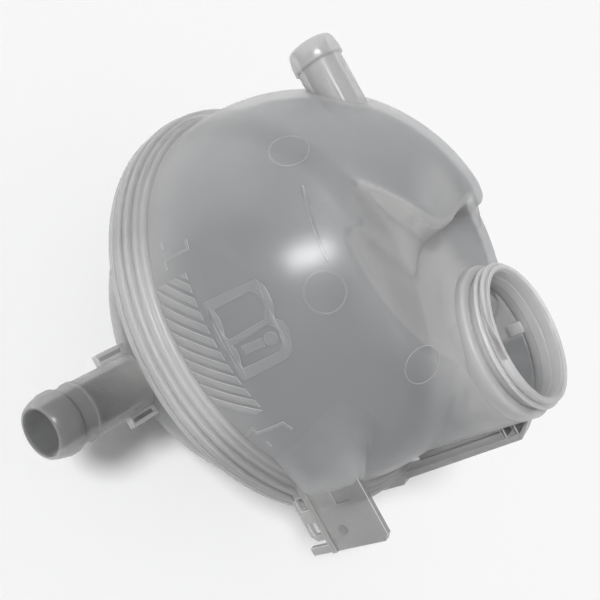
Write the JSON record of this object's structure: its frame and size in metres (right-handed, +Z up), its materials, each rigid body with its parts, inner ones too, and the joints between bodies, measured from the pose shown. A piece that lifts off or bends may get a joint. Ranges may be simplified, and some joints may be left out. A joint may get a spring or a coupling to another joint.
{
  "type": "coolant overflow tank",
  "caption": "Ball-shaped translucent coolant expansion tank of two welded half shells, with a threaded filler neck in a cap well, hose spigots, a hook bracket and a guide rail.",
  "frame": {"origin": "seat of the hook bracket's slot, where the tank hangs on a sheet edge, at the middle of the bracket's thickness", "axes": "+Z up along the filler neck, -Y the way the lower hose spigot points, -X the way the vent spigot points"},
  "size_m": [0.1686, 0.191, 0.151],
  "materials": {
    "natural_polypropylene": "moulded, milky and translucent"
  },
  "bodies": {
    "root": {"upper_shell": "natural_polypropylene", "lower_shell": "natural_polypropylene", "upper_flange": "natural_polypropylene", "lower_flange": "natural_polypropylene", "weld_bead": "natural_polypropylene", "neck_collar": "natural_polypropylene", "filler_neck": "natural_polypropylene", "vent_spigot": "natural_polypropylene", "outlet_spigot": "natural_polypropylene", "outlet_gusset_left": "natural_polypropylene", "outlet_gusset_right": "natural_polypropylene", "hook_bracket": "natural_polypropylene", "bracket_inner_rib": "natural_polypropylene", "rail_web": "natural_polypropylene", "rail_flange": "natural_polypropylene", "rail_top_rib": "natural_polypropylene", "rail_lower_rib": "natural_polypropylene"}
  },
  "joints": []
}
